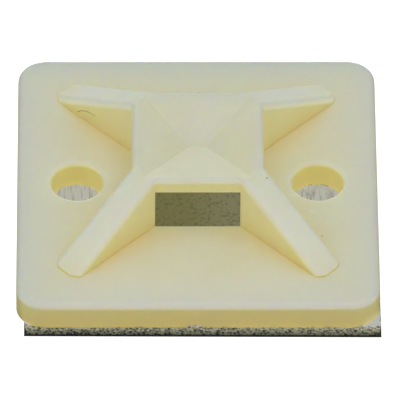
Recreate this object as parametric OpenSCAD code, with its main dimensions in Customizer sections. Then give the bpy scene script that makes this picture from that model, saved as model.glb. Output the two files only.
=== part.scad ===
// Four-way cable tie mount: a one-piece nylon moulding on a double-sided foam pad.
// A raised, dished saddle stands on four diagonal legs, so that a tie can be
// threaded under it in either direction. Millimetres.
// Origin: centre of the underside. +Z: up from the wall. +X: through both screw holes.

/* [Base plate] */
// Width of the plate along X
plate_w = 28; // [26:0.5:40]
// Depth of the plate along Y
plate_d = 28; // [26:0.5:40]
// Thickness of the plate
plate_t = 2.3; // [1.6:0.1:4]
// Radius of the plate's upright corners
plate_corner_r = 2.2; // [1:0.1:4]
// Radius of the rounding round the plate's top edge
plate_edge_r = 0.5; // [0.2:0.05:0.9]

/* [Screw holes] */
// Distance between the centres of the two screw holes
hole_pitch = 18.7; // [17.5:0.1:20]
// Diameter of each screw hole
hole_d = 4; // [3:0.1:4.6]
// Radius of the rounding at the mouth of each screw hole
hole_rim_r = 0.4; // [0.1:0.05:0.6]

/* [Saddle] */
// Side of the square roof
roof_w = 10.2; // [9:0.1:11.5]
// Height of the roof's front and back edges above the plate
roof_h = 4.9; // [3.8:0.1:7]
// How much higher the roof's left and right edges are
roof_side_rise = 0.2; // [0:0.05:0.4]
// Thickness of the roof
roof_t = 1.3; // [0.8:0.1:1.8]
// Fall of the dish from the roof's front edge to its middle
dish_depth = 1.3; // [0.6:0.1:1.5]
// Length of the level valley in the middle of the dish
dish_flat = 1.4; // [0.4:0.1:3]
// Width of the two channels for the tie, which cross under the roof
channel_w = 6.6; // [5:0.1:7]
// Radius of the rounding along the roof's four edges
roof_rim_r = 0.4; // [0.1:0.05:0.5]

/* [Legs] */
// Distance from the centre to the toe of each leg
leg_reach = 14.5; // [13:0.1:15.5]
// Height of the blunt toe at the end of each leg
toe_h = 0.15; // [0.05:0.05:0.5]
// Radius over the shoulder where a leg leaves the roof
shoulder_r = 2.5; // [1:0.1:3]
// Radius along the two upper edges of each leg
leg_edge_r = 0.55; // [0.2:0.05:0.8]
// Radius of the toe's corners in plan
toe_corner_r = 0.8; // [0.3:0.1:1.2]
// Radius of the fillet between each leg and the plate
leg_foot_r = 0.5; // [0.2:0.05:0.8]

/* [Gate recess] */
// Width of the shallow arch at the foot of the plate's front face
gate_w = 1.4; // [0.8:0.1:3]
// Height of the arch
gate_h = 0.35; // [0.2:0.05:0.6]
// Depth of the arch into the plate
gate_depth = 0.3; // [0.1:0.05:0.6]
// Distance of the arch to the left of the middle
gate_offset = 0.2; // [0:0.1:3]

/* [Foam pad] */
// Width of the pad along X
pad_w = 27.5; // [26:0.1:40]
// Depth of the pad along Y
pad_d = 27.6; // [26:0.1:40]
// Thickness of the pad
pad_t = 0.95; // [0.5:0.05:2]
// How far the pad sits to the right of the plate's centre
pad_shift_x = 0.35; // [0:0.05:1]
// How far the pad sits in front of the plate's centre
pad_shift_y = 0.2; // [0:0.05:1]
// How far the pad's right front corner runs out of square
pad_skew = 0.15; // [0:0.05:0.5]

/* [Release liner] */
// Thickness of the peel-off liner under the pad
liner_t = 0.1; // [0.05:0.05:0.3]

/* [Hidden] */

$fn = 64;
through = 1;                          // how far a cut runs past the face that it opens
plate_z = liner_t + pad_t;            // underside of the plate
top_z = plate_z + plate_t;            // top face of the plate
roof_half = roof_w / 2;
floor_h = roof_h - dish_depth;        // middle of the dish above the plate
ridge_h = roof_h + roof_side_rise;    // highest line of the saddle above the plate
leg_w = (roof_w - channel_w) / sqrt(2);            // a leg fills the corner between two channels
leg_start = (roof_half + channel_w / 2) / sqrt(2); // where a leg leaves the roof
leg_slope = (roof_h - toe_h) / (leg_reach - leg_start);
leg_fall = atan(leg_slope);
shoulder_x = leg_start - roof_side_rise / leg_slope;
gate_r = (gate_w * gate_w / 4 + gate_h * gate_h) / (2 * gate_h);

// Half section of the plate's rim: upright side with a quarter-round top edge
module rim_section() {
    square([plate_corner_r - plate_edge_r, plate_t]);
    square([plate_corner_r, plate_t - plate_edge_r]);
    translate([plate_corner_r - plate_edge_r, plate_t - plate_edge_r]) circle(plate_edge_r);
}

// Plate with round upright corners and one rounded edge all round its top
module base_plate() {
    flat_w = plate_w - 2 * plate_corner_r;
    flat_d = plate_d - 2 * plate_corner_r;
    translate([-flat_w / 2, -flat_d / 2, 0]) cube([flat_w, flat_d, plate_t]);
    for (turn = [0, 180]) rotate(turn) {
        translate([flat_w / 2, flat_d / 2, 0]) rotate([90, 0, 0])
            linear_extrude(flat_d) rim_section();
        translate([-flat_w / 2, flat_d / 2, 0]) rotate([90, 0, 90])
            linear_extrude(flat_w) rim_section();
    }
    for (sx = [-1, 1], sy = [-1, 1]) translate([sx * flat_w / 2, sy * flat_d / 2, 0])
        rotate_extrude() rim_section();
}

// A hole right through the plate, with a rounded mouth
module screw_hole() {
    translate([0, 0, -through]) cylinder(d = hole_d, h = plate_t + 2 * through);
    translate([0, 0, plate_t - hole_rim_r]) rotate_extrude() difference() {
        square([hole_d / 2 + hole_rim_r, hole_rim_r + through]);
        translate([hole_d / 2 + hole_rim_r, 0]) circle(hole_rim_r);
    }
}

// Shallow arch at the foot of the front face, left by the gate of the mould
module gate_recess() {
    translate([-gate_offset, -plate_d / 2 - through, gate_h - gate_r]) rotate([-90, 0, 0])
        cylinder(r = gate_r, h = gate_depth + through);
}

// What comes off a sharp shoulder to round it
module shoulder_trim() {
    run = shoulder_r * tan(leg_fall / 2);
    difference() {
        polygon([
            [shoulder_x - run, ridge_h],
            [shoulder_x, ridge_h + through],
            [shoulder_x + run * cos(leg_fall), ridge_h - run * sin(leg_fall)]
        ]);
        translate([shoulder_x - run, ridge_h - shoulder_r]) circle(shoulder_r);
    }
}

// Side view of two opposite legs: a level ridge that rolls over and falls to a blunt toe
module leg_profile() {
    difference() {
        polygon([
            [-leg_reach, 0], [-leg_reach, toe_h], [-shoulder_x, ridge_h],
            [shoulder_x, ridge_h], [leg_reach, toe_h], [leg_reach, 0]
        ]);
        shoulder_trim();
        mirror([1, 0]) shoulder_trim();
    }
}

// A form and its mirror image on the other side of the XZ plane
module both_sides() {
    children();
    mirror([0, 1, 0]) children();
}

// The leg profile as a ridge of any width
module leg_ridge(w) {
    rotate([90, 0, 0]) translate([0, 0, -w / 2]) linear_extrude(w) leg_profile();
}

// Bar along +X as wide as a leg, which falls as the leg does and has round upper edges
module slope_bar() {
    deep = 2 * ridge_h;
    long = 2 * leg_reach;
    translate([shoulder_x, 0, ridge_h]) rotate([0, leg_fall, 0]) rotate([90, 0, 90])
        translate([0, 0, -long / 2]) linear_extrude(long) {
            translate([-leg_w / 2, -deep]) square([leg_w, deep - leg_edge_r]);
            translate([-leg_w / 2 + leg_edge_r, -deep]) square([leg_w - 2 * leg_edge_r, deep]);
            for (s = [-1, 1]) translate([s * (leg_w / 2 - leg_edge_r), -leg_edge_r])
                circle(leg_edge_r);
        }
}

// Plan of a leg along +X, with round corners at its toe
module leg_plan() {
    translate([0, -leg_w / 2]) square([leg_reach - toe_corner_r, leg_w]);
    translate([0, -leg_w / 2 + toe_corner_r]) square([leg_reach, leg_w - 2 * toe_corner_r]);
    for (s = [-1, 1]) translate([leg_reach - toe_corner_r, s * (leg_w / 2 - toe_corner_r)])
        circle(toe_corner_r);
}

// One leg along +X, from the middle of the roof to its toe
module leg() {
    intersection() {
        leg_ridge(2 * leg_w);
        slope_bar();
        linear_extrude(ridge_h + through) leg_plan();
    }
}

// Fillets along the foot of one leg, outside the roof, which end as the leg's top runs out
module leg_foot() {
    foot_start = leg_start - leg_foot_r;
    intersection() {
        leg_ridge(4 * leg_w);
        both_sides() translate([foot_start, leg_w / 2, 0]) rotate([90, 0, 90])
            linear_extrude(leg_reach - toe_corner_r - foot_start) difference() {
                square(leg_foot_r);
                translate([leg_foot_r, leg_foot_r]) circle(leg_foot_r);
            }
    }
}

// Square block below the roof, which rolls over at its corners as the legs do
module crown() {
    intersection() {
        translate([-roof_half, -roof_half, 0]) cube([roof_w, roof_w, ridge_h + through]);
        rotate(45) leg_ridge(2 * roof_w);
        rotate(-45) leg_ridge(2 * roof_w);
    }
}

// What comes off both rims of the roof along X, where a face of the dish meets a side of
// the roof, so that each is round
module rim_trim(floor_h, edge_h, flat) {
    fall = atan((edge_h - floor_h) / (roof_half - flat / 2));
    centre_y = roof_half - roof_rim_r;
    centre_h = edge_h - roof_rim_r * tan(fall) - roof_rim_r / cos(fall);
    top_y = centre_y - roof_rim_r * sin(fall);
    both_sides() rotate([90, 0, 90]) translate([0, 0, -roof_half - through])
        linear_extrude(roof_w + 2 * through) difference() {
            polygon([
                [centre_y, centre_h], [roof_half + through, centre_h],
                [roof_half + through, ridge_h + through], [top_y, ridge_h + through],
                [top_y, centre_h + roof_rim_r * cos(fall)]
            ]);
            translate([centre_y, centre_h]) circle(roof_rim_r);
        }
}

// Everything above a valley along X, whose sides rise from the floor to the roof's edges.
// With no level part, the valley is sharp.
module above_valley(floor_h, edge_h, flat) {
    slope = (edge_h - floor_h) / (roof_half - flat / 2);
    far = roof_w;
    far_h = floor_h + slope * (far - flat / 2);
    valley = flat > 0 ? [[-flat / 2, floor_h], [flat / 2, floor_h]] : [[0, floor_h]];
    sky = [[far, far_h], [far, far_h + far], [-far, far_h + far], [-far, far_h]];
    rotate([90, 0, 90]) translate([0, 0, -far]) linear_extrude(2 * far)
        polygon(concat(valley, sky));
}

// Hollow of the dish: four flat faces, which meet in valleys that cross in the middle
module dish() {
    intersection() {
        above_valley(floor_h, roof_h, 0);
        rotate(90) above_valley(floor_h, ridge_h, dish_flat);
    }
}

// Plan of the two crossing channels, whose arms end at the given reach
module channel_cross(reach) {
    for (turn = [0, 90]) rotate(turn) square([2 * reach, channel_w], center = true);
}

// Core that forms the channels from below: open through the plate, and up to the
// underside of the roof, which follows the dish
module tie_core() {
    difference() {
        union() {
            translate([0, 0, -plate_t - through]) linear_extrude(plate_t + 2 * through)
                channel_cross(roof_half);
            linear_extrude(ridge_h) channel_cross(roof_half + through);
        }
        translate([0, 0, -roof_t]) dish();
    }
}

// Plate, legs and roof, with the dish, the channels and the screw holes cut out
module body_with_channels() {
    difference() {
        union() {
            translate([0, 0, plate_z]) base_plate();
            translate([0, 0, top_z]) {
                difference() {
                    crown();
                    rim_trim(floor_h, roof_h, 0);
                    rotate(90) rim_trim(floor_h, ridge_h, dish_flat);
                }
                for (turn = [45:90:315]) rotate(turn) leg();
            }
        }
        translate([0, 0, top_z]) {
            dish();
            tie_core();
        }
        translate([0, 0, plate_z]) {
            for (s = [-1, 1]) translate([s * hole_pitch / 2, 0, 0]) screw_hole();
            gate_recess();
        }
    }
}

// The whole moulding. The fillets come last, so that the channels stay clear of them.
module mount_body() {
    color([0.93, 0.92, 0.80]) {
        body_with_channels();
        translate([0, 0, top_z]) difference() {
            for (turn = [45:90:315]) rotate(turn) leg_foot();
            translate([-roof_half, -roof_half, -through]) cube([roof_w, roof_w, ridge_h]);
        }
    }
}

// Plan of the pad and its liner: cut together, with one corner a little out of square
module pad_outline() {
    left = pad_shift_x - pad_w / 2;
    right = pad_shift_x + pad_w / 2;
    front = -pad_shift_y - pad_d / 2;
    back = -pad_shift_y + pad_d / 2;
    polygon([[left, front + pad_skew], [right, front], [right - pad_skew, back], [left, back]]);
}

module foam_pad() {
    color([0.42, 0.43, 0.41]) translate([0, 0, liner_t]) linear_extrude(pad_t) pad_outline();
}

module release_liner() {
    color([0.13, 0.14, 0.14]) linear_extrude(liner_t) pad_outline();
}

mount_body();
foam_pad();
release_liner();
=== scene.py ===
import math

import bmesh
import bpy
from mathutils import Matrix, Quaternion, Vector, noise


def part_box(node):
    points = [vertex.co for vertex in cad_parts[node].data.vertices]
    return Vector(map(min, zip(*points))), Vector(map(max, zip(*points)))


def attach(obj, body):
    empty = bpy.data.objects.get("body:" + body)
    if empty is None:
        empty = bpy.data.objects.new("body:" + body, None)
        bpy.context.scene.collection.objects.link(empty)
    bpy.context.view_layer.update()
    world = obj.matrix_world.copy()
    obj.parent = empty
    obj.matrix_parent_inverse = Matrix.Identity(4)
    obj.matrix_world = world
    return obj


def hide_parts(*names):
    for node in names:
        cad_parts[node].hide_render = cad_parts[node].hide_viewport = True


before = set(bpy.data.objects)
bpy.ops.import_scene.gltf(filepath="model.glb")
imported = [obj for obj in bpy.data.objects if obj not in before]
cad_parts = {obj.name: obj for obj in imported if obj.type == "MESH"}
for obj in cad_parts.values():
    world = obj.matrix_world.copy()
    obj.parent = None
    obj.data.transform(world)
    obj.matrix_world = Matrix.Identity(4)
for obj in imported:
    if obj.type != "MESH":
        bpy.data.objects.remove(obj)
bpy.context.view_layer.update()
mm = 0.001
scene = bpy.context.scene
print("frame loaded:", sorted(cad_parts))


def hexColour(code):
    parts = [int(code[i:i + 2], 16) / 255 for i in (1, 3, 5)]
    linear = [c / 12.92 if c <= 0.04045 else ((c + 0.055) / 1.055) ** 2.4 for c in parts]
    return (*linear, 1.0)


# adds one node; an input is a number, a colour or another node's output
def addNode(tree, kind, settings=None, inputs=None):
    node = tree.nodes.new("ShaderNode" + kind)
    for key, value in (settings or {}).items():
        setattr(node, key, value)
    for key, value in (inputs or {}).items():
        if isinstance(value, bpy.types.NodeSocket):
            tree.links.new(value, node.inputs[key])
        else:
            node.inputs[key].default_value = value
    return node


blend = {"data_type": "RGBA"}
eased = {"interpolation_type": "SMOOTHSTEP"}


def newMaterial(name):
    material = bpy.data.materials.new(name)
    material.use_nodes = True
    material.node_tree.nodes.clear()
    return material, material.node_tree


# object coordinates in millimetres
def placeInMm(tree):
    place = addNode(tree, "TexCoord")
    return addNode(
        tree, "VectorMath", {"operation": "SCALE"},
        {0: place.outputs["Object"], "Scale": 1000}).outputs[0]


def wearMaterial(node, material):
    node.data.materials.clear()
    node.data.materials.append(material)


def pieceFromBmesh(bm, name, *materials):
    mesh = bpy.data.meshes.new(name)
    for material in materials:
        mesh.materials.append(material)
    bm.to_mesh(mesh)
    bm.free()
    piece = bpy.data.objects.new(name, mesh)
    scene.collection.objects.link(piece)
    return piece


camera = {
    "elevation": 43.37,     # degrees above the plate
    "turn": 0.63,           # degrees that the mount stands turned
    "roll": 0.40,
    "distance": 773.6,      # mm from the middle of the plate's top
    "lens": 895.97,
    "right": 0.206,         # mm from there to the middle of the picture
    "up": -1.471,
    "plateTop": 3.35,       # mm above the surface
    "sensor": 36,
    "near": 0.01,           # m
    "far": 10,
}


def setCamera():
    elevation, turn = math.radians(camera["elevation"]), math.radians(camera["turn"])
    back = Vector((
        -math.sin(turn) * math.cos(elevation),
        -math.cos(turn) * math.cos(elevation),
        math.sin(elevation),
    ))
    roll = Quaternion((0, 0, 1), math.radians(camera["roll"]))
    facing = (-back).to_track_quat("-Z", "Y") @ roll
    data = bpy.data.cameras.new("camera")
    data.lens = camera["lens"]
    data.sensor_width = camera["sensor"]
    data.clip_start, data.clip_end = camera["near"], camera["far"]
    seer = bpy.data.objects.new("camera", data)
    scene.collection.objects.link(seer)
    seer.rotation_mode = "QUATERNION"
    seer.rotation_quaternion = facing
    middle = Vector((camera["right"], camera["up"], camera["distance"])) * mm
    seer.location = Vector((0, 0, camera["plateTop"] * mm)) + facing @ middle
    scene.camera = seer


setCamera()
print("camera set")

# a soft tent: cool from above and in front, warm and weak from low down
tent = {
    "heights": (-1.0, -0.35, 0.0, 0.35, 0.7, 1.0),   # sine of the angle above the horizon
    "front": ("#3a2600", "#715500", "#896827", "#c5c4b1", "#cfd2b3", "#88927f"),
    "back": ("#312800", "#584f00", "#273019", "#456a83", "#d5db8b", "#88927f"),
    "blend": 0.8,            # how fast front turns to back
    "strength": 1.0,
}


def makeWorld():
    world = bpy.data.worlds.new("softTent")
    world.use_nodes = True
    tree = world.node_tree
    tree.nodes.clear()
    place = addNode(tree, "TexCoord")
    split = addNode(tree, "SeparateXYZ", inputs={0: place.outputs["Generated"]})
    height = addNode(
        tree, "Math", {"operation": "MULTIPLY_ADD"}, {0: split.outputs["Z"], 1: 0.5, 2: 0.5})
    ramps = []
    for side in ("front", "back"):
        ramp = addNode(tree, "ValToRGB", inputs={0: height.outputs[0]})
        stops = ramp.color_ramp.elements
        for z in tent["heights"][1:-1]:
            stops.new(z * 0.5 + 0.5)
        for stop, z, code in zip(stops, tent["heights"], tent[side]):
            stop.position = z * 0.5 + 0.5
            stop.color = hexColour(code)
        ramps.append(ramp.outputs[0])
    behind = addNode(
        tree, "Math", {"operation": "MULTIPLY_ADD", "use_clamp": True},
        {0: split.outputs["Y"], 1: tent["blend"], 2: 0.5})
    around = addNode(
        tree, "Mix", blend, {0: behind.outputs[0], 6: ramps[0], 7: ramps[1]})
    sky = addNode(
        tree, "Background", inputs={"Color": around.outputs[2], "Strength": tent["strength"]})
    addNode(tree, "OutputWorld", inputs={"Surface": sky.outputs[0]})
    scene.world = world


floor = {
    "paper": "#f6f6f4",
    "glow": 0.9,
    "size": 1.2,             # m from the middle to a side
    "roughness": 0.9,
    "specular": 0.1,
}


def makeFloor():
    bm = bmesh.new()
    bmesh.ops.create_grid(bm, x_segments=1, y_segments=1, size=floor["size"])
    paper, tree = newMaterial("whitePaper")
    shader = addNode(
        tree, "BsdfPrincipled",
        inputs={
            "Base Color": hexColour(floor["paper"]),
            "Roughness": floor["roughness"],
            "Specular IOR Level": floor["specular"],
            "Emission Color": hexColour(floor["paper"]),
            "Emission Strength": floor["glow"],
        })
    addNode(tree, "OutputMaterial", inputs={"Surface": shader.outputs[0]})
    sweep = pieceFromBmesh(bm, "floor", paper)
    sweep.visible_diffuse = False
    sweep.visible_glossy = False


fillSpread = 30              # degrees

# light that casts no shadow, for what wanders about inside translucent nylon
# (direction, colour, strength in W/m2)
fill = {
    "right": ((1, 0, 0), "#f9fef4", 0.46),
    "left": ((-1, 0, 0), "#f9fef4", 0.46),
    "back": ((0, 1, 0), "#f9fef4", 0.46),
    "front": ((0, -1, 0), "#f9fef4", 0.46),
    "above": ((0, 0, 1), "#b1a9ff", 0.74),
    "below": ((0, 0, -1), "#ffe900", 0.71),
}


def makeFill():
    for name, (direction, code, power) in fill.items():
        data = bpy.data.lights.new("fill_" + name, "SUN")
        data.color = hexColour(code)[:3]
        data.energy = power
        data.angle = math.radians(fillSpread)
        data.use_shadow = False
        lamp = bpy.data.objects.new("fill_" + name, data)
        lamp.rotation_mode = "QUATERNION"
        lamp.rotation_quaternion = (-Vector(direction)).to_track_quat("-Z", "Y")
        scene.collection.objects.link(lamp)


makeWorld()
makeFloor()
makeFill()
scene.view_settings.view_transform = "Standard"
print("studio lit")

nylon = {
    "cream": "#f6f3e3",
    "creaseShade": "#ecdc86",           # painted shade in creases, where light only comes through the plastic
    "creaseReach": 4.5,           # mm
    "creaseOpenness": (0.98, 0.40),   # where a crease starts and where it is full
    "creaseAmount": 0.7,
    # painted shade on upright faces, yellower as the normal turns sideways
    "wall": "#d6cc88",
    "wallSlope": (0.6, 0.0),      # upward part of the normal, start and full
    "wallShadeAmount": 0.42,
    "crestLight": "#f6f6f1",           # painted light on the tops of the legs and the roof's outer band, where they face up
    "crestHeight": (3.5, 5.0),    # mm
    "crestSlope": (0.45, 0.85),
    "crestOut": (4.4, 5.6),       # mm from the middle
    "crestInside": 0.1,           # what is left of it on the roof's dish
    "crestLightAmount": 0.8,
    "rim": "#f4f4ea",             # painted light: cooler towards the edges, where less light comes back off the saddle and through the plastic
    "paintedCoolRimOut": (8.5, 13.6),        # mm from the middle
    "rimCorner": 1.5,             # mm that the band's corners are rounded over
    "cloud": "#ece8cc",
    "cloudSize": 3.5,             # mm
    "cloudRange": (0.35, 0.7),
    "cloudAmount": 0.5,
    "scatter": (5.0, 3.5, 1.0),   # mm that red, green and blue light wander
    "ior": 1.53,
    "roughness": (0.37, 0.47),
    "roughRange": (0.3, 0.7),
    "grainSize": 0.22,            # mm, spark-eroded mould, drawn coarser than it is
    "grainHeight": 0.0012,        # mm
    "waveSize": 2.6,              # mm
    "waveHeight": 0.012,          # mm
    "markEdge": (1.0, 0.2),       # in half sizes, start and full
    # place, half size in mm, colour and strength of each small mark
    "marks": (
        ((8.86, -3.39, 3.35), (0.42, 0.17, 0.4), "#ffffff", 0.45),
        ((10.08, -4.52, 3.35), (0.30, 0.10, 0.4), "#ffffff", 0.4),
        ((5.32, -4.34, 7.76), (0.16, 0.13, 0.3), "#9a9c86", 0.6),
        ((9.59, -6.20, 3.35), (0.13, 0.12, 0.3), "#9a9c86", 0.5),
        ((-0.18, -14.0, 2.52), (0.55, 0.4, 0.42), "#f6eee2", 0.5),
    ),
    # fine dark fibre that lies on the side of one leg
    "fibre": {
        "middle": (-8.66, 6.86, 4.09), "lie": (90, -23.8, -45),   # mm and degrees
        "halfLength": 1.09, "rise": 0.27, "halfWidth": 0.034, "reach": 0.3,
        "colour": "#a09a70",
    },
    # painted shadow: dark dashes along the foot of the plate, where small gaps stand open over
    # the foam
    "gapShadow": {
        "height": (1.19, 1.11),   # mm, start and full
        "size": 1.3, "range": (0.55, 0.62), "amount": 0.8, "colour": "#a08c6c",
    },
}


# moulded natural nylon: milky and satin, with painted light on the raised tops and painted
# shade in deep straw yellow in creases and on walls, where light has come through the plastic
def makeNylon():
    material, tree = newMaterial("naturalNylon")
    place = placeInMm(tree)
    split = addNode(tree, "SeparateXYZ", inputs={0: place})

    cloud = addNode(
        tree, "TexNoise", inputs={"Vector": place, "Scale": 1 / nylon["cloudSize"], "Detail": 2})
    cloudAmount = addNode(
        tree, "MapRange",
        inputs={0: cloud.outputs[0], 1: nylon["cloudRange"][0], 2: nylon["cloudRange"][1], 3: 0.0,
                4: nylon["cloudAmount"]})
    colour = addNode(
        tree, "Mix", blend,
        {0: cloudAmount.outputs[0], 6: hexColour(nylon["cream"]), 7: hexColour(nylon["cloud"])}
    ).outputs[2]

    sideways = addNode(tree, "Math", {"operation": "ABSOLUTE"}, {0: split.outputs["X"]})
    lengthways = addNode(tree, "Math", {"operation": "ABSOLUTE"}, {0: split.outputs["Y"]})
    outwards = addNode(
        tree, "Math", {"operation": "SMOOTH_MAX"},
        {0: sideways.outputs[0], 1: lengthways.outputs[0], 2: nylon["rimCorner"]})
    # painted light: a cooler band towards the plate's edges
    paintedCoolRimAmount = addNode(
        tree, "MapRange", eased,
        {0: outwards.outputs[0], 1: nylon["paintedCoolRimOut"][0], 2: nylon["paintedCoolRimOut"][1], 3: 0.0,
         4: 1.0})
    colour = addNode(
        tree, "Mix", blend,
        {0: paintedCoolRimAmount.outputs[0], 6: colour, 7: hexColour(nylon["rim"])}).outputs[2]

    # painted shade: straw yellow mixed in where ambient occlusion finds a crease
    openness = addNode(
        tree, "AmbientOcclusion", {"samples": 8},
        {"Distance": nylon["creaseReach"] * mm})
    crease = addNode(
        tree, "MapRange", eased,
        {0: openness.outputs["AO"], 1: nylon["creaseOpenness"][0],
         2: nylon["creaseOpenness"][1], 3: 0.0, 4: nylon["creaseAmount"]})
    colour = addNode(
        tree, "Mix", blend,
        {0: crease.outputs[0], 6: colour, 7: hexColour(nylon["creaseShade"])}).outputs[2]

    facing = addNode(
        tree, "SeparateXYZ", inputs={0: addNode(tree, "TexCoord").outputs["Normal"]})
    # painted shade on walls, by which way the surface faces
    wall = addNode(
        tree, "MapRange", eased,
        {0: facing.outputs["Z"], 1: nylon["wallSlope"][0], 2: nylon["wallSlope"][1],
         3: 0.0, 4: nylon["wallShadeAmount"]})
    colour = addNode(
        tree, "Mix", blend,
        {0: wall.outputs[0], 6: colour, 7: hexColour(nylon["wall"])}).outputs[2]
    # painted light on raised, level faces away from the middle
    raised = addNode(
        tree, "MapRange", eased,
        {0: split.outputs["Z"], 1: nylon["crestHeight"][0], 2: nylon["crestHeight"][1],
         3: 0.0, 4: 1.0})
    level = addNode(
        tree, "MapRange", eased,
        {0: facing.outputs["Z"], 1: nylon["crestSlope"][0], 2: nylon["crestSlope"][1],
         3: 0.0, 4: nylon["crestLightAmount"]})
    outside = addNode(
        tree, "MapRange", eased,
        {0: outwards.outputs[0], 1: nylon["crestOut"][0], 2: nylon["crestOut"][1],
         3: nylon["crestInside"], 4: 1.0})
    onLeg = addNode(
        tree, "Math", {"operation": "MULTIPLY"}, {0: raised.outputs[0], 1: outside.outputs[0]})
    crestLight = addNode(
        tree, "Math", {"operation": "MULTIPLY"}, {0: onLeg.outputs[0], 1: level.outputs[0]})
    colour = addNode(
        tree, "Mix", blend,
        {0: crestLight.outputs[0], 6: colour, 7: hexColour(nylon["crestLight"])}).outputs[2]

    for middle, halfSize, code, strength in nylon["marks"]:
        local = addNode(
            tree, "Mapping", {"vector_type": "TEXTURE"},
            {"Vector": place, "Location": middle, "Scale": halfSize})
        away = addNode(tree, "VectorMath", {"operation": "LENGTH"}, {0: local.outputs[0]})
        marked = addNode(
            tree, "MapRange", eased,
            {0: away.outputs["Value"], 1: nylon["markEdge"][0], 2: nylon["markEdge"][1],
             3: 0.0, 4: strength})
        colour = addNode(
            tree, "Mix", blend,
            {0: marked.outputs[0], 6: colour, 7: hexColour(code)}).outputs[2]

    fibre = nylon["fibre"]
    local = addNode(
        tree, "Mapping", {"vector_type": "TEXTURE"},
        {"Vector": place, "Location": fibre["middle"],
         "Rotation": [math.radians(a) for a in fibre["lie"]]})
    along = addNode(tree, "SeparateXYZ", inputs={0: local.outputs[0]})
    share = addNode(
        tree, "Math", {"operation": "DIVIDE"}, {0: along.outputs["X"], 1: fibre["halfLength"]})
    squared = addNode(tree, "Math", {"operation": "POWER"}, {0: share.outputs[0], 1: 2.0})
    arc = addNode(
        tree, "Math", {"operation": "MULTIPLY_ADD"},
        {0: squared.outputs[0], 1: fibre["rise"], 2: along.outputs["Y"]})
    onArc = addNode(
        tree, "Math", {"operation": "COMPARE"},
        {0: arc.outputs[0], 1: fibre["rise"], 2: fibre["halfWidth"]})
    withinEnds = addNode(
        tree, "Math", {"operation": "COMPARE"}, {0: squared.outputs[0], 1: 0.0, 2: 1.0})
    onLegSide = addNode(
        tree, "Math", {"operation": "COMPARE"},
        {0: along.outputs["Z"], 1: 0.0, 2: fibre["reach"]})
    drawnArc = addNode(
        tree, "Math", {"operation": "MULTIPLY"},
        {0: onArc.outputs[0], 1: withinEnds.outputs[0]})
    hair = addNode(
        tree, "Math", {"operation": "MULTIPLY"},
        {0: drawnArc.outputs[0], 1: onLegSide.outputs[0]})
    colour = addNode(
        tree, "Mix", blend,
        {0: hair.outputs[0], 6: colour, 7: hexColour(fibre["colour"])}).outputs[2]

    # painted shadow in small gaps between the plate and the foam
    gapShadow = nylon["gapShadow"]
    lowDown = addNode(
        tree, "MapRange", eased,
        {0: split.outputs["Z"], 1: gapShadow["height"][0], 2: gapShadow["height"][1], 3: 0.0,
         4: gapShadow["amount"]})
    dashes = addNode(
        tree, "TexNoise", {"noise_dimensions": "1D"},
        {"W": split.outputs["X"], "Scale": 1 / gapShadow["size"], "Detail": 3})
    dashed = addNode(
        tree, "MapRange", eased,
        {0: dashes.outputs[0], 1: gapShadow["range"][0], 2: gapShadow["range"][1], 3: 0.0, 4: 1.0})
    gapShaded = addNode(
        tree, "Math", {"operation": "MULTIPLY"}, {0: lowDown.outputs[0], 1: dashed.outputs[0]})
    colour = addNode(
        tree, "Mix", blend,
        {0: gapShaded.outputs[0], 6: colour, 7: hexColour(gapShadow["colour"])}).outputs[2]

    grain = addNode(
        tree, "TexNoise", inputs={"Vector": place, "Scale": 1 / nylon["grainSize"], "Detail": 3})
    wave = addNode(
        tree, "TexNoise", inputs={"Vector": place, "Scale": 1 / nylon["waveSize"], "Detail": 1})
    waves = addNode(
        tree, "Bump", inputs={
            "Strength": 1.0, "Distance": nylon["waveHeight"] * mm, "Height": wave.outputs[0]})
    grains = addNode(
        tree, "Bump", inputs={
            "Strength": 1.0, "Distance": nylon["grainHeight"] * mm, "Height": grain.outputs[0],
            "Normal": waves.outputs[0]})
    shine = addNode(
        tree, "MapRange",
        inputs={0: cloud.outputs[0], 1: nylon["roughRange"][0], 2: nylon["roughRange"][1],
                3: nylon["roughness"][0], 4: nylon["roughness"][1]})
    shader = addNode(
        tree, "BsdfPrincipled",
        inputs={
            "Base Color": colour,
            "Roughness": shine.outputs[0],
            "IOR": nylon["ior"],
            "Subsurface Weight": 1.0,
            "Subsurface Radius": nylon["scatter"],
            "Subsurface Scale": mm,
            "Normal": grains.outputs[0],
        })
    addNode(tree, "OutputMaterial", inputs={"Surface": shader.outputs[0]})
    return material


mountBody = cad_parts["mount_body"]
wearMaterial(mountBody, makeNylon())
print("nylon moulding finished")

foam = {
    "cornerRadius": 0.45,     # mm
    "step": 0.065,            # mm between points along the cut edge
    "rows": 15,
    "flatAngle": 1,           # degrees between faces that count as one
    "shortEdge": 0.1,         # mm, all edges across a side are lower than this
    "tallEdge": 0.5,          # mm, all upright edges are higher than this
    "longEdge": 5,            # mm, all edges along a side are longer than this
    "cellSize": 0.25,         # mm
    "cellDepth": 0.13,        # mm that a cut cell goes in
    "cellRange": (0.25, 0.62),    # middle and rim of a cell, in cell sizes
    "cellSpread": 0.15,       # how much wider or narrower a clump of cells is
    "clumpSize": 0.7,         # mm
    "ragged": 0.05,           # mm
    "raggedSize": 0.35,       # mm
    "undercut": 0.10,         # mm that the knife leaned in
    # specks of painted shade for more open cells
    "speckSize": 0.16,        # mm
    "speckRange": (0.48, 0.68),
    "speckAmount": 0.85,
    "wall": "#eef3ec",
    # painted shade in the open cells
    "cellShade": "#141a18",
    "cellAmount": 0.9,
    "foot": "#7b827c",        # painted shade, darker towards the bottom
    "footHeight": (0.95, 0.1),    # mm, start and full
    "footAmount": 0.9,
    "roughness": 0.85,
    "ior": 1.5,
}


def smoothStep(low, high, value):
    share = min(max((value - low) / (high - low), 0), 1)
    return share * share * (3 - 2 * share)


def rise(edge):
    return abs(edge.verts[0].co.z - edge.verts[1].co.z)


def tallEdges(bm):
    return [e for e in bm.edges if rise(e) > foam["tallEdge"] * mm]


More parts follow.
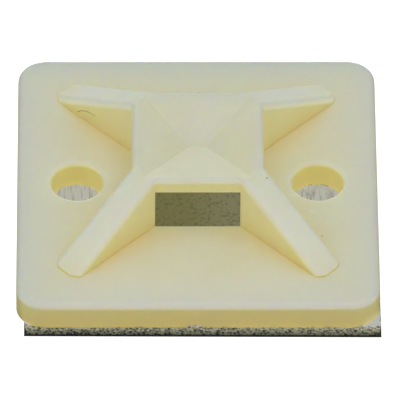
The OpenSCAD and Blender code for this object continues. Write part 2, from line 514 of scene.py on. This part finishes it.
# the pad with rounded corners, and with sides that a knife drew through open cells
def makeFoam():
    bm = bmesh.new()
    bm.verts.layers.float.new("cellShade")
    bm.from_mesh(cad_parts["foam_pad"].data)
    bmesh.ops.remove_doubles(bm, verts=bm.verts[:], dist=0.001 * mm)
    bmesh.ops.dissolve_limit(
        bm, angle_limit=math.radians(foam["flatAngle"]), verts=bm.verts[:], edges=bm.edges[:])
    corners = tallEdges(bm)
    bmesh.ops.bevel(
        bm, geom=corners, offset=foam["cornerRadius"] * mm, offset_type="OFFSET",
        segments=4, profile=0.5, affect="EDGES", material=-1)
    bm.normal_update()
    flats = [f for f in bm.faces if abs(f.normal.z) > 0.5]
    bmesh.ops.delete(bm, geom=flats, context="FACES_ONLY")
    longEdges = [
        e for e in bm.edges
        if rise(e) < foam["shortEdge"] * mm and e.calc_length() > foam["longEdge"] * mm]
    cuts = round(longEdges[0].calc_length() / mm / foam["step"])
    bmesh.ops.subdivide_edges(bm, edges=longEdges, cuts=cuts, use_grid_fill=True)
    bmesh.ops.subdivide_edges(bm, edges=tallEdges(bm), cuts=foam["rows"], use_grid_fill=True)
    bm.normal_update()

    low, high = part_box("foam_pad")
    cellShade = bm.verts.layers.float["cellShade"]
    for point in bm.verts:
        where = point.co / mm
        nearest = noise.voronoi(where / foam["cellSize"])[0][0]
        clump = noise.noise(where / foam["clumpSize"])
        middle, rim = foam["cellRange"]
        pit = 1 - smoothStep(middle, rim + foam["cellSpread"] * clump, nearest)
        heightShare = (point.co.z - low.z) / (high.z - low.z)
        ragged = foam["ragged"] * (0.5 + 0.5 * noise.noise(where / foam["raggedSize"]))
        depth = pit * foam["cellDepth"] + ragged + foam["undercut"] * (1 - heightShare)
        inwards = Vector((point.normal.x, point.normal.y, 0)).normalized()
        point[cellShade] = pit
        point.co -= inwards * depth * mm
    for face in bm.faces:
        face.smooth = True
    rims = [e for e in bm.edges if e.is_boundary]
    flats = bmesh.ops.holes_fill(bm, edges=rims, sides=0)["faces"]
    bmesh.ops.recalc_face_normals(bm, faces=bm.faces[:])
    for face in flats:
        face.smooth = False
        face.material_index = 1 if face.calc_center_median().z > (low.z + high.z) / 2 else 0
    return pieceFromBmesh(bm, "foamTape", makeFoamMaterial(), makeFilmMaterial())


# polyethylene foam, cut with a knife: pale cell walls round open cells, with painted shade in the
# cells and specks
def makeFoamMaterial():
    material, tree = newMaterial("cutPolyethyleneFoam")
    place = placeInMm(tree)
    split = addNode(tree, "SeparateXYZ", inputs={0: place})
    depth = addNode(tree, "Attribute", {"attribute_name": "cellShade"})
    speck = addNode(
        tree, "TexNoise", inputs={"Vector": place, "Scale": 1 / foam["speckSize"], "Detail": 2})
    # painted shade towards the bottom of the foam's sides
    foot = addNode(
        tree, "MapRange", eased,
        {0: split.outputs["Z"], 1: foam["footHeight"][0], 2: foam["footHeight"][1],
         3: 0.0, 4: foam["footAmount"]})
    wall = addNode(
        tree, "Mix", blend,
        {0: foot.outputs[0], 6: hexColour(foam["wall"]), 7: hexColour(foam["foot"])})
    inCell = addNode(
        tree, "Math", {"operation": "MULTIPLY", "use_clamp": True},
        {0: depth.outputs["Fac"], 1: foam["cellAmount"]})
    speckled = addNode(
        tree, "MapRange",
        inputs={0: speck.outputs[0], 1: foam["speckRange"][0], 2: foam["speckRange"][1],
                3: 0.0, 4: foam["speckAmount"]})
    most = addNode(
        tree, "Math", {"operation": "MAXIMUM"}, {0: inCell.outputs[0], 1: speckled.outputs[0]})
    colour = addNode(
        tree, "Mix", blend,
        {0: most.outputs[0], 6: wall.outputs[2], 7: hexColour(foam["cellShade"])})
    shader = addNode(
        tree, "BsdfPrincipled",
        inputs={
            "Base Color": colour.outputs[2],
            "Roughness": foam["roughness"],
            "IOR": foam["ior"],
        })
    addNode(tree, "OutputMaterial", inputs={"Surface": shader.outputs[0]})
    return material


film = {
    "white": "#e6eaea",
    "streak": "#a9aca4",
    "streakWidth": 0.16,      # mm
    "streakLength": 1.6,
    "streakRange": (0.5, 0.75),
    # painted shade under the saddle, lighter towards the right where more light comes in
    "saddleShade": "#8b8c62",
    "saddleShadeLit": "#9c9d86",
    "saddleShadeAcross": (-1.0, 3.2),   # mm, from the one to the other
    "bubbleShade": "#6d6c42",
    "bubbleSize": 0.28,       # mm
    "bubbleRange": (0.5, 0.72),
    "bubbleAmount": 0.8,
    "saddleReach": (5.0, 6.0),    # mm from the middle, painted olive shade up to here and white from there
    "rippleHeight": 0.01,     # mm
    "roughness": 0.38,
    "ior": 1.47,
}


# clear acrylic adhesive over the foam: milky with drawn streaks in the open, and painted
# shade under the saddle, olive grey with darker bubbles and lighter towards the right
def makeFilmMaterial():
    material, tree = newMaterial("acrylicAdhesive")
    place = placeInMm(tree)
    split = addNode(tree, "SeparateXYZ", inputs={0: place})
    drawn = addNode(
        tree, "Mapping", inputs={
            "Vector": place,
            "Scale": (1 / film["streakWidth"], 1 / film["streakLength"], 1.0)})
    streaks = addNode(
        tree, "TexNoise", inputs={"Vector": drawn.outputs[0], "Scale": 1.0, "Detail": 2})
    streaky = addNode(
        tree, "MapRange",
        inputs={0: streaks.outputs[0], 1: film["streakRange"][0], 2: film["streakRange"][1],
                3: 0.0, 4: 1.0})
    white = addNode(
        tree, "Mix", blend,
        {0: streaky.outputs[0], 6: hexColour(film["white"]), 7: hexColour(film["streak"])})
    across = addNode(
        tree, "MapRange",
        inputs={0: split.outputs["X"], 1: film["saddleShadeAcross"][0], 2: film["saddleShadeAcross"][1],
                3: 0.0, 4: 1.0})
    saddleShade = addNode(
        tree, "Mix", blend,
        {0: across.outputs[0], 6: hexColour(film["saddleShade"]), 7: hexColour(film["saddleShadeLit"])})
    bubbles = addNode(
        tree, "TexNoise",
        inputs={"Vector": place, "Scale": 1 / film["bubbleSize"], "Detail": 2})
    bubbly = addNode(
        tree, "MapRange",
        inputs={0: bubbles.outputs[0], 1: film["bubbleRange"][0], 2: film["bubbleRange"][1],
                3: 0.0, 4: film["bubbleAmount"]})
    saddleShade = addNode(
        tree, "Mix", blend,
        {0: bubbly.outputs[0], 6: saddleShade.outputs[2], 7: hexColour(film["bubbleShade"])})
    sideways = addNode(tree, "Math", {"operation": "ABSOLUTE"}, {0: split.outputs["X"]})
    lengthways = addNode(tree, "Math", {"operation": "ABSOLUTE"}, {0: split.outputs["Y"]})
    outwards = addNode(
        tree, "Math", {"operation": "MAXIMUM"},
        {0: sideways.outputs[0], 1: lengthways.outputs[0]})
    inTheOpen = addNode(
        tree, "MapRange", eased,
        {0: outwards.outputs[0], 1: film["saddleReach"][0], 2: film["saddleReach"][1],
         3: 0.0, 4: 1.0})
    colour = addNode(
        tree, "Mix", blend,
        {0: inTheOpen.outputs[0], 6: saddleShade.outputs[2], 7: white.outputs[2]})
    ripple = addNode(
        tree, "Bump", inputs={
            "Strength": 1.0, "Distance": film["rippleHeight"] * mm,
            "Height": streaks.outputs[0]})
    shader = addNode(
        tree, "BsdfPrincipled",
        inputs={
            "Base Color": colour.outputs[2],
            "Roughness": film["roughness"],
            "IOR": film["ior"],
            "Normal": ripple.outputs[0],
        })
    addNode(tree, "OutputMaterial", inputs={"Surface": shader.outputs[0]})
    return material


foamTape = makeFoam()
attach(foamTape, "root")
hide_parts("foam_pad")
print("foam tape finished")

liner = {
    "film": "#232826",
    "scuff": "#3a403d",
    "scuffSize": 0.5,         # mm
    "scuffRange": (0.45, 0.7),
    "roughness": 0.45,
    "ior": 1.5,
}


# siliconised polyester liner: thin, dark and satin, scuffed along its cut edge
def makeLiner():
    material, tree = newMaterial("siliconisedPolyester")
    place = placeInMm(tree)
    scuffs = addNode(
        tree, "TexNoise", inputs={"Vector": place, "Scale": 1 / liner["scuffSize"], "Detail": 4})
    scuffed = addNode(
        tree, "MapRange",
        inputs={0: scuffs.outputs[0], 1: liner["scuffRange"][0], 2: liner["scuffRange"][1],
                3: 0.0, 4: 1.0})
    colour = addNode(
        tree, "Mix", blend,
        {0: scuffed.outputs[0], 6: hexColour(liner["film"]), 7: hexColour(liner["scuff"])})
    shader = addNode(
        tree, "BsdfPrincipled",
        inputs={
            "Base Color": colour.outputs[2],
            "Roughness": liner["roughness"],
            "IOR": liner["ior"],
        })
    addNode(tree, "OutputMaterial", inputs={"Surface": shader.outputs[0]})
    return material


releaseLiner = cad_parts["release_liner"]
wearMaterial(releaseLiner, makeLiner())
print("liner finished")
